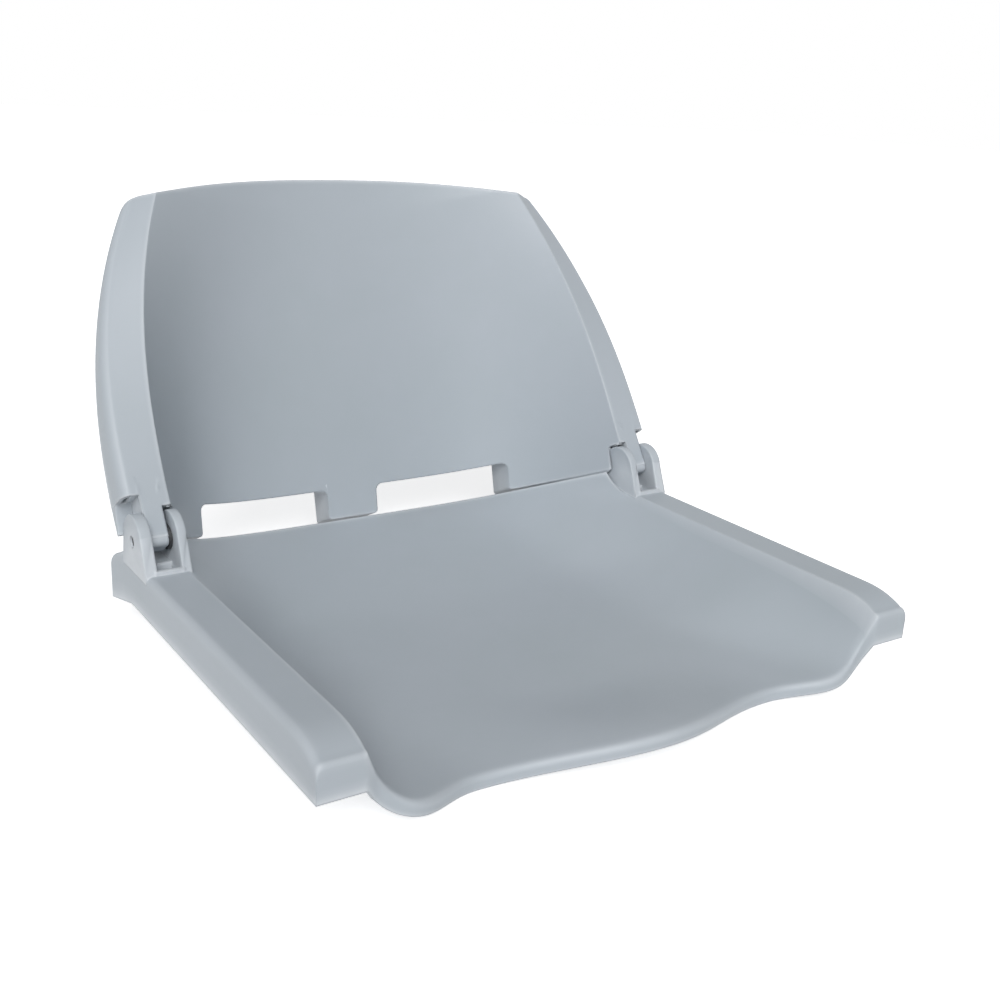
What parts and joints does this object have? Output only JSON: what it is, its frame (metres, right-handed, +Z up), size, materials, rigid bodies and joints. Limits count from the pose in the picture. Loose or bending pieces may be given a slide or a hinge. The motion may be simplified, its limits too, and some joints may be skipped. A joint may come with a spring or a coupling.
{
  "type": "folding boat seat",
  "caption": "Folding boat seat of moulded plastic: dished pan between box rails, and a tub-shaped backrest that folds forward on side hinges.",
  "frame": {"origin": "centre of the pedestal mounting pattern, on the underside of the seat pan's hub", "axes": "+X to the sitter's left, -Y to the front, +Z up"},
  "size_m": [0.47, 0.51, 0.3169],
  "materials": {
    "grey_plastic": "fine moulded grain",
    "pin_steel": "turned",
    "bush_nylon": "plain",
    "insert_brass": "turned"
  },
  "bodies": {
    "seat": {"seat_pan": "grey_plastic", "hinge_pin_left": "pin_steel", "hinge_pin_right": "pin_steel", "mount_insert_1": "insert_brass", "mount_insert_2": "insert_brass", "mount_insert_3": "insert_brass", "mount_insert_4": "insert_brass"},
    "backrest": {"backrest": "grey_plastic", "hinge_bush_left": "bush_nylon", "hinge_bush_right": "bush_nylon"}
  },
  "joints": [
    {"name": "backrest_fold", "type": "hinge", "parent": "seat", "child": "backrest", "pos_m": [0, 0.103, 0.0835], "axis": [1, 0, 0], "range_deg": [0, 122]}
  ]
}
